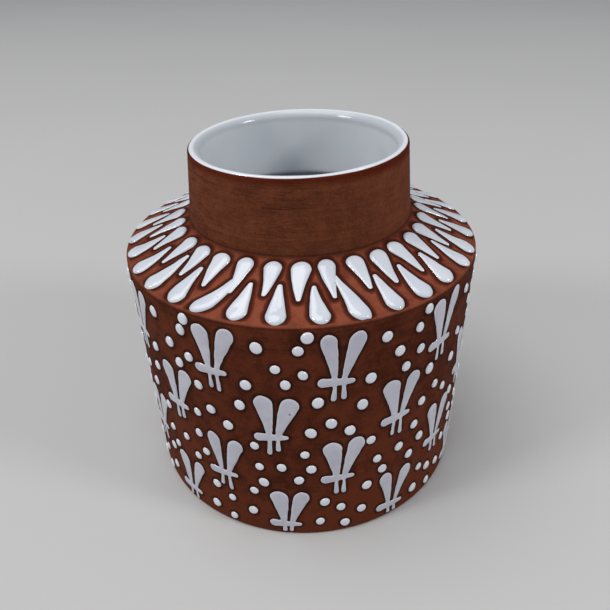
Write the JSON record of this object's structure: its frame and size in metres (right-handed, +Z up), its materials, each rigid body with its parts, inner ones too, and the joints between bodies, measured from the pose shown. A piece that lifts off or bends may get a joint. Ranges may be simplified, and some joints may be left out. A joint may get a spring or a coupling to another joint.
{
  "type": "ceramic vase",
  "caption": "Squat unglazed red earthenware vase with a sloping shoulder, a collar neck, a white glaze lining and trailed white drops, sprigs and dots in low relief; holds cut flowers.",
  "frame": {"origin": "on the table under the middle of the foot", "axes": "+Z up along the pot's axis of turning; -Y is the side that faces the picture; +X is to its right"},
  "size_m": [0.1092, 0.1098, 0.1088],
  "materials": {
    "red_clay": "bare fired red earthenware, turned and matt",
    "white_lining": "glossy opaque white glaze",
    "white_trail": "trailed opaque white glaze, satin to glossy"
  },
  "bodies": {
    "root": {"clay_body": "red_clay", "glaze_lining": "white_lining", "upper_drops": "white_trail", "lower_drops": "white_trail", "sprigs_top": "white_trail", "sprigs_upper": "white_trail", "sprigs_lower": "white_trail", "sprigs_foot": "white_trail", "dots_top": "white_trail", "dots_upper": "white_trail", "dots_lower": "white_trail", "dots_foot": "white_trail"}
  },
  "joints": []
}
